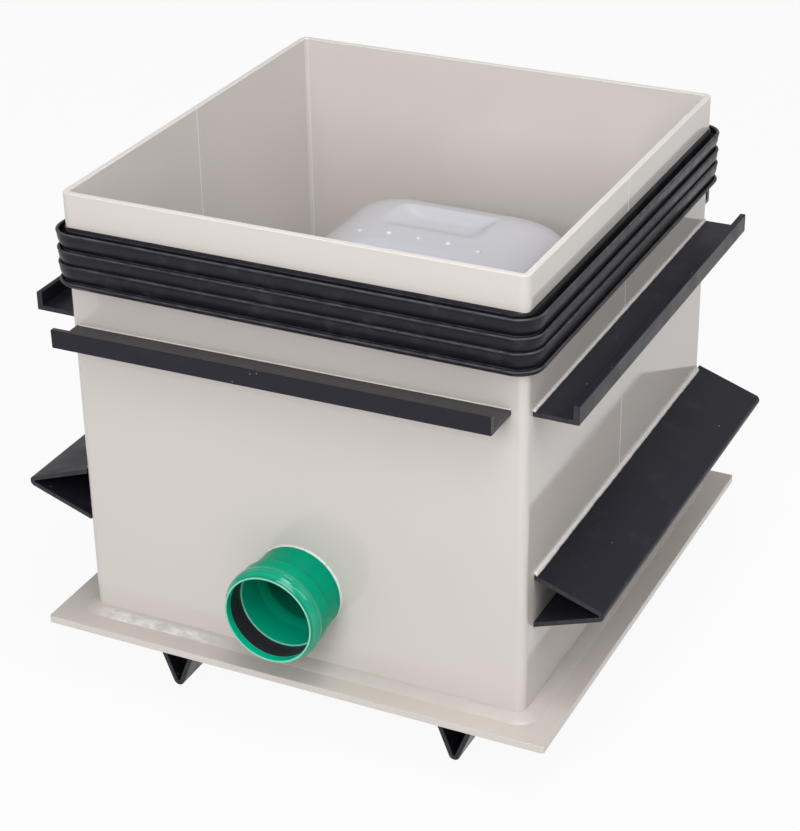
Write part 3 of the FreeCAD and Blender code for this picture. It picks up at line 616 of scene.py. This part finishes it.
sheetMaterial = sheetFinish()
weldMaterial = weldFinish("broadWeld", "broad")
thinWeldMaterial = weldFinish("thinWeld", "thin")
gaiterMaterial = rubberFinish("gaiterRubber", "gaiter")
sealMaterial = rubberFinish("sealRubber", "seal")
pipeMaterial = pipeFinish()
hoodMaterial = hoodFinish()
crossProfile = profileFinish("blackSheetAcross", "X", profile["lighterTopShare"])
longProfile = profileFinish("blackSheetAlong", "Y", 0.0)
paint(sheetMaterial, "base_plate", "front_wall_shell", "rear_wall_shell", "front_saddle", "rear_saddle")
paint(weldMaterial, "base_weld_bead")
paint(thinWeldMaterial, "key_angle_weld_beads", "anchor_channel_weld_beads")
paint(thinWeldMaterial, "inlet_weld_ring", "outlet_weld_ring")
paint(crossProfile, "front_key_angle", "rear_key_angle")
paint(longProfile, "left_key_angle", "right_key_angle", "left_anchor_channel", "right_anchor_channel")
paint(longProfile, "left_foot_rail", "right_foot_rail")
paint(gaiterMaterial, "sealing_gaiter")
paint(sealMaterial, "inlet_lip_seal", "lid_gasket", "stem_o_ring", "flap_seal")
paint(pipeMaterial, "inlet_socket_pipe", "outlet_spigot_pipe")
paint(hoodMaterial, "protective_hood")
paint(mouldingFinish("valveMoulding", "dark"), "valve_body", "valve_lid")
paint(mouldingFinish("flapMoulding", "grey"), "service_flap", "closing_disc", "stem_gland", "test_plug")
paint(mouldingFinish("leverMoulding", "lever"), "closing_lever")
paint(steelFinish(), "closing_stem", "flap_hinge_pin", "lid_screws")
print("finishes painted")


# A section of corners, turned on the pipe's axis.
# Each corner has a station behind the mouth, a radius and a rounding, all in millimetres
def turnSection(shape, corners, segments, steps):
    verts = []
    for station, radius, rounding in corners:
        verts.append(shape.verts.new((radius * milli, pipe["mouth"] + station * milli, pipe["axis"])))
    for first, second in zip(verts, verts[1:] + verts[:1]):
        shape.edges.new((first, second))
    for vert, (station, radius, rounding) in zip(verts, corners):
        bmesh.ops.bevel(
            shape, geom=[vert], offset=rounding * milli, affect="VERTICES",
            segments=segments, profile=0.5, material=-1,
        )
    outline = shape.verts[:] + shape.edges[:]
    middle = (0.0, 0.0, pipe["axis"])
    bmesh.ops.spin(
        shape, geom=outline, cent=middle, axis=(0, 1, 0), angle=2 * math.pi, steps=steps, use_merge=True,
    )


socketForm = {
    "segments": 4,
    "steps": 192,
    "sharp": 28.0,
    "corners": [
        (0.0, 58.6, 0.5), (2.6, 58.8, 0.6), (3.6, 58.0, 0.4), (4.6, 59.6, 0.6), (8.0, 62.6, 1.8),
        (12.6, 63.9, 0.8), (13.6, 63.4, 0.3), (14.6, 64.0, 0.5), (19.2, 64.0, 0.5),
        (20.8, 62.5, 0.4), (39.0, 62.6, 1.8), (43.5, 58.6, 1.4), (92.0, 58.6, 3.0), (106.0, 55.0, 3.0),
        (270.0, 55.0, 0.3), (270.0, 51.6, 0.3), (90.0, 51.6, 1.0), (76.0, 55.4, 1.0), (37.0, 55.4, 0.5),
        (37.0, 60.0, 0.2), (10.5, 60.0, 0.2), (10.5, 56.2, 0.5), (0.7, 56.2, 0.3), (0.0, 56.9, 0.3),
    ],
}


def makeSocket():
    form = socketForm
    shape = bmesh.new()
    turnSection(shape, form["corners"], form["segments"], form["steps"])
    finishPiece(shape, "socketPipe", pipeMaterial, ["inlet_socket_pipe"], form["sharp"])


sealForm = {
    "segments": 3,
    "steps": 160,
    "sharp": 40.0,
    "front": 10.7,
    "rear": 36.8,
    "back": 59.8,
    "face": 57.2,
    "ribs": (15.0, 20.0, 25.0, 30.0),
    "ribTop": 56.7,
    "ribHalf": 1.1,
    "rounding": 0.4,
}


def makeSeal():
    form = sealForm
    ease = form["rounding"]
    corners = [(form["rear"], form["face"], ease), (form["rear"], form["back"], ease)]
    corners += [(form["front"], form["back"], ease), (form["front"], form["ribTop"], ease)]
    corners += [(form["front"] + 2 * form["ribHalf"], form["face"], ease)]
    for station in form["ribs"]:
        corners.append((station - form["ribHalf"], form["face"], ease))
        corners.append((station, form["ribTop"], ease))
        corners.append((station + form["ribHalf"], form["face"], ease))
    shape = bmesh.new()
    turnSection(shape, corners, form["segments"], form["steps"])
    finishPiece(shape, "lipSeal", sealMaterial, ["inlet_lip_seal"], form["sharp"])


# Noises have a scale and a seed
baseWeld = {
    "reach": 0.0182,
    "rise": 0.0060,
    "belly": 0.42,
    "columns": 720,
    "rows": 12,
    "toeWaver": 0.0010,
    "toeNoise": (45.0, 1.0),
    "skinWaver": 0.0002,
    "skinNoise": (110.0, 5.0),
}


def makeBaseWeld():
    form = baseWeld

    def place(u, v):
        point, out = aroundBox(u)
        if v > 1:
            return point + Vector((0, 0, box["base"]))
        reach = form["reach"] + form["toeWaver"] * waver(point, *form["toeNoise"])
        angle = v * math.pi / 2
        away = reach * (1 - math.sin(angle) ** (1 / form["belly"]))
        up = form["rise"] * (1 - math.cos(angle) ** (1 / form["belly"]))
        skin = form["skinWaver"] * waver(point + out * away * 2, *form["skinNoise"]) * math.sin(2 * angle)
        return point + out * (away + skin) + Vector((0, 0, box["base"] + up + skin))

    shape = bmesh.new()
    wrap(shape, form["columns"], form["rows"], place, closingRows)
    finishPiece(shape, "baseWeld", weldMaterial, ["base_weld_bead"])


pipeWeld = {
    "inletRadius": 0.0586,
    "outletRadius": 0.055,
    "leg": 0.0019,
    "mean": 0.75,
    "swell": 0.45,
    "fullest": 50.0,
    "uneven": 0.2,
    "unevenNoise": (6.0, 3.0),
    # shares of a hollow arc and of a straight slope in the bead's section
    "hollow": 0.9,
    "slope": 0.1,
    "columns": 240,
    "rows": 6,
    "skinWaver": 0.0005,
    "skinNoise": (24.0, 8.0),
}


# The bead is fullest at the upper right and thins out round the pipe
def makePipeWeld(name, radius, wall, side, node):
    form = pipeWeld

    def place(u, v):
        angle = 2 * math.pi * u
        spoke = Vector((math.cos(angle), 0, math.sin(angle)))
        if v > 1:
            return spoke * radius + Vector((0, wall, pipe["axis"]))
        full = form["mean"] + form["swell"] * math.cos(angle - math.radians(form["fullest"]))
        leg = form["leg"] * (full + form["uneven"] * waver(spoke, *form["unevenNoise"]))
        turn = v * math.pi / 2
        away = leg * ((1 - math.cos(turn)) * form["hollow"] + form["slope"] * v)
        along = leg * ((1 - math.sin(turn)) * form["hollow"] + form["slope"] * (1 - v))
        skin = form["skinWaver"] * waver(spoke, *form["skinNoise"]) * math.sin(2 * turn)
        point = spoke * (radius + away + skin)
        return Vector((point.x, wall + side * (along + skin), pipe["axis"] + point.z))

    shape = bmesh.new()
    wrap(shape, form["columns"], form["rows"], place, closingRows)
    finishPiece(shape, name, thinWeldMaterial, [node])


profileWeld = {
    "swell": 0.14,
    "broadNoise": (55.0, 6.0),
    "fineNoise": (170.0, 9.0),
    "fineShare": 0.6,
    "belly": 0.2,
    "columns": 300,
    "rows": 5,
    # quarter turn of the side, wall, start and end of the run, height, leg, tilt in degrees
    # and fall of the profile's top
    "angleRuns": [
        (0, 0.300, -0.292, 0.299, 0.497, 0.0031, 0.0, 0.0),
        (1, 0.310, -0.284, 0.288, 0.503, 0.0020, 0.0, 0.0),
        (2, 0.300, -0.295, 0.297, 0.507, 0.0020, 0.0, 0.0),
        (3, 0.310, -0.289, 0.281, 0.501, 0.0012, 0.6, 0.0),
    ],
    "channelRuns": [
        (0, 0.300, -0.281, 0.299, 0.2755, 0.0042, 0.0, 0.41),
        (2, 0.300, -0.288, 0.299, 0.2925, 0.0036, 0.0, 0.41),
    ],
}


# The place function of one straight run
def weldRun(quarter, wall, start, end, height, size, tilt, fall):
    form = profileWeld
    turn = Matrix.Rotation(quarter * math.pi / 2, 3, "Z")

    def place(u, v):
        along = start + (end - start) * u
        climb = along * math.tan(math.radians(tilt))
        if v > 1:
            return turn @ Vector((wall, along, height + climb))
        spot = (along, wall, height)
        uneven = waver(spot, *form["broadNoise"]) + form["fineShare"] * waver(spot, *form["fineNoise"])
        leg = size * (1 + form["swell"] * uneven)
        swell = form["belly"] * leg * math.sin(math.pi * v)
        out = leg * v + swell
        up = leg * (1 - v) - fall * leg * v + swell + climb
        return turn @ Vector((wall + out, along, height + up))

    return place


def makeProfileWelds(name, runs, node):
    shape = bmesh.new()
    for run in runs:
        wrap(shape, profileWeld["columns"], profileWeld["rows"], weldRun(*run), closingRows)
    finishPiece(shape, name, thinWeldMaterial, [node])


# Share of each quarter's columns on either straight side of its corner
straightShare = 0.25


# Point on a rounded rectangle, for a share of the way round it
def roundedOutline(halfX, halfY, corner, share):
    quarter, within = divmod(share * 4, 1)
    quarter = int(quarter) % 4
    within = within if quarter % 2 == 0 else 1 - within
    if within < straightShare:
        x, y = halfX, (halfY - corner) * within / straightShare
    elif within > 1 - straightShare:
        x, y = (halfX - corner) * (1 - within) / straightShare, halfY
    else:
        angle = (within - straightShare) / (1 - 2 * straightShare) * math.pi / 2
        x = halfX - corner + corner * math.cos(angle)
        y = halfY - corner + corner * math.sin(angle)
    return (x if quarter in (0, 3) else -x), (y if quarter in (0, 1) else -y)


def softMax(first, second, soft):
    share = max(soft - abs(first - second), 0.0) / soft
    return max(first, second) + share * share * soft / 4


def domeHeight(inset):
    form = hoodForm
    drop = max(0.0, 1 - (inset - form["draft"]) / form["inset"])
    return form["straight"] + form["dome"] * math.sqrt(1 - drop * drop)


# The dome's height with the two finger recesses sunk into it
def recessedHeight(x, y, height):
    form = hoodForm
    near, far, side = form["recessFloor"]
    slopeNear, slopeFar, slopeSide = form["recessSlope"]
    climb = softMax((near - abs(y)) / slopeNear, (abs(y) - far) / slopeFar, form["slopeBlend"])
    climb = softMax(climb, (abs(x) - side) / slopeSide, form["slopeBlend"])
    climb = softMax(climb, 0.0, form["floorBlend"])
    crown = form["straight"] + form["dome"]
    cut = crown - form["recessDepth"] * (1 - climb)
    return -softMax(-height, -cut, form["soft"])


def makeHood():
    form = hoodForm
    skirtRows, wallRows = form["skirtRows"], form["wallRows"]

    def place(u, v):
        if v <= skirtRows:
            # outside of the skirt, then its ledge
            share = v / skirtRows
            ledge = min((1 - share) / (1 - form["skirtLedge"]), 1.0)
            inset = -form["skirtOut"] * ledge
            climb = min(share / form["skirtTop"], 1.0)
            height = -form["skirtDrop"] + (form["skirtDrop"] + form["wall"]) * climb
        elif v <= wallRows:
            share = (v - skirtRows) / (wallRows - skirtRows)
            inset = form["draft"] * share
            height = form["wall"] + (form["straight"] - form["wall"]) * share
        else:
            turn = (v - wallRows) / (1 - wallRows)
            spread = 1 - (1 - turn) ** form["rowCrowding"]
            inset = form["draft"] + (form["halfX"] - form["draft"]) * spread
            height = domeHeight(inset)
        halfX = max(form["halfX"] - inset, 0.0)
        halfY = form["halfY"] - inset
        corner = form["corner"] * halfX / form["halfX"]
        x, y = roundedOutline(halfX, halfY, corner, u)
        if v > wallRows:
            height = recessedHeight(x, y, height)
        return Vector((x, y + form["centre"], form["foot"] + height))

    shape = bmesh.new()
    wrap(shape, form["columns"], form["rows"], place)
    bmesh.ops.remove_doubles(shape, verts=shape.verts, dist=mergeDistance)
    bmesh.ops.recalc_face_normals(shape, faces=shape.faces)
    bmesh.ops.dissolve_degenerate(shape, dist=sliverWidth, edges=shape.edges)
    bmesh.ops.solidify(shape, geom=shape.faces[:], thickness=form["wall"])
    size = Matrix.Diagonal((form["nubRadius"], form["nubRadius"], form["nubHeight"] * 2, 1.0))
    for x in form["nubs"]:
        top = form["foot"] + domeHeight(form["halfX"] - abs(x))
        here = Matrix.Translation((x, form["centre"], top - form["nubHeight"])) @ size
        bmesh.ops.create_uvsphere(
            shape, u_segments=form["nubColumns"], v_segments=form["nubRows"], radius=1.0, matrix=here,
        )
    finishPiece(shape, "milkyHood", hoodMaterial, ["protective_hood"])


seam = {
    "half": 0.0016,
    "proud": 0.0004,
    "sunk": 0.0001,
    "back": 0.0002,
    "endGap": 0.001,
    "columns": 160,
    "rows": 6,
    "waver": 0.0006,
    "noise": (60.0, 4.0),
}


# The place function of the seam on one face of a wall, which looks to the given side
def seamRun(face, side):
    start = box["base"] + seam["endGap"]
    length = box["rim"] - box["base"] - 2 * seam["endGap"]

    def place(u, v):
        z = start + length * u
        if v > 1:
            return Vector((face - side * seam["back"], 0, z))
        across = 2 * v - 1
        half = seam["half"] + seam["waver"] * waver((face, 0.0, z), *seam["noise"])
        rise = seam["proud"] * (1 - across * across) - seam["sunk"]
        return Vector((face + side * rise, half * across, z))

    return place


# Butt welds of the two folded sheets, in the middle of the left and right walls
def makeSeams():
    outer, inner = box["halfX"], box["halfX"] - box["wall"]
    shape = bmesh.new()
    for face, side in ((outer, 1), (-outer, -1), (inner, -1), (-inner, 1)):
        wrap(shape, seam["columns"], seam["rows"], seamRun(face, side), closingRows)
    finishPiece(shape, "wallSeams", thinWeldMaterial, [])


makeSocket()
makeSeal()
makeBaseWeld()
makePipeWeld("inletWeld", pipeWeld["inletRadius"], -box["halfY"], -1, "inlet_weld_ring")
makePipeWeld("outletWeld", pipeWeld["outletRadius"], box["halfY"], 1, "outlet_weld_ring")
makeProfileWelds("angleWelds", profileWeld["angleRuns"], "key_angle_weld_beads")
makeProfileWelds("channelWelds", profileWeld["channelRuns"], "anchor_channel_weld_beads")
makeHood()
makeSeams()
print("pieces made")


studio = {
    "floorSize": 12.0,
    "floorColour": opaque(0.55, 0.55, 0.55),
    "floorRoughness": 0.9,
    # share of white that is seen on the floor; the rest keeps the shadow
    "floorWhite": 0.93,
    "white": opaque(1.0, 1.0, 1.0),
    "worldStrength": 0.46,
    "lamps": [
        # name, place, size, watts
        ("keyLamp", (0.3, -4.0, 2.2), 2.0, 86.0),
        ("highLamp", (1.0, -2.2, 3.8), 2.0, 45.0),
        ("topLamp", (0.6, -0.5, 3.1), 1.0, 27.0),
        ("rightLamp", (3.0, -0.6, 2.8), 2.0, 35.0),
    ],
    "aim": (0.0, 0.0, 0.35),
}


def makeFloor():
    mesh = bpy.data.meshes.new("studioFloor")
    shape = bmesh.new()
    bmesh.ops.create_grid(shape, x_segments=1, y_segments=1, size=studio["floorSize"])
    shape.to_mesh(mesh)
    shape.free()
    floor = bpy.data.objects.new("studioFloor", mesh)
    bpy.context.scene.collection.objects.link(floor)
    finish = Finish("paleFloor")
    finish.set(Base_Color=studio["floorColour"], Roughness=studio["floorRoughness"])
    direct = finish.add("ShaderNodeLightPath", {}, {}, "Is Camera Ray")
    glossy = finish.add("ShaderNodeLightPath", {}, {}, "Is Glossy Ray")
    passed = finish.add("ShaderNodeLightPath", {}, {}, "Is Transmission Ray")
    seen = direct.larger(glossy).larger(passed)
    white = finish.add("ShaderNodeEmission", {}, {"Color": studio["white"], "Strength": 1.0})
    lit = Tone(finish, finish.shader.outputs[0])
    mixed = finish.add("ShaderNodeMixShader", {}, {0: seen * studio["floorWhite"], 1: lit, 2: white})
    finish.tree.links.new(mixed.socket, finish.output.inputs["Surface"])
    mesh.materials.append(finish.material)


# The camera sees a white background; the world's light is weaker
def makeWorld():
    world = bpy.data.worlds.new("studioWorld")
    world.use_nodes = True
    bpy.context.scene.world = world
    tree = world.node_tree
    background = tree.nodes["Background"]
    background.inputs["Color"].default_value = studio["white"]
    path = tree.nodes.new("ShaderNodeLightPath")
    strength = tree.nodes.new("ShaderNodeMapRange")
    strength.inputs["To Min"].default_value = studio["worldStrength"]
    strength.inputs["To Max"].default_value = 1.0
    tree.links.new(path.outputs["Is Camera Ray"], strength.inputs["Value"])
    tree.links.new(strength.outputs[0], background.inputs["Strength"])


def makeLamps():
    for name, place, size, watts in studio["lamps"]:
        light = bpy.data.lights.new(name, "AREA")
        light.size = size
        light.energy = watts
        lamp = bpy.data.objects.new(name, light)
        lamp.location = place
        aim = Vector(studio["aim"]) - Vector(place)
        lamp.rotation_euler = aim.to_track_quat("-Z", "Y").to_euler()
        bpy.context.scene.collection.objects.link(lamp)


photoCamera = {
    "place": (1.14333, -2.36203, 1.68679),
    "azimuth": 25.990,
    "elevation": 28.114,
    "roll": -0.981,
    "lens": 97.752,
    "sensor": 36.0,
}


def makeCamera():
    data = bpy.data.cameras.new("photoCamera")
    data.lens = photoCamera["lens"]
    data.sensor_width = photoCamera["sensor"]
    camera = bpy.data.objects.new("photoCamera", data)
    turn = Matrix.Rotation(math.radians(photoCamera["azimuth"]), 4, "Z")
    tilt = Matrix.Rotation(math.radians(90 - photoCamera["elevation"]), 4, "X")
    roll = Matrix.Rotation(math.radians(photoCamera["roll"]), 4, "Z")
    camera.matrix_world = Matrix.Translation(photoCamera["place"]) @ turn @ tilt @ roll
    bpy.context.scene.collection.objects.link(camera)
    bpy.context.scene.camera = camera


makeFloor()
makeWorld()
makeLamps()
makeCamera()
bpy.context.scene.view_settings.view_transform = "Standard"
print("studio ready")
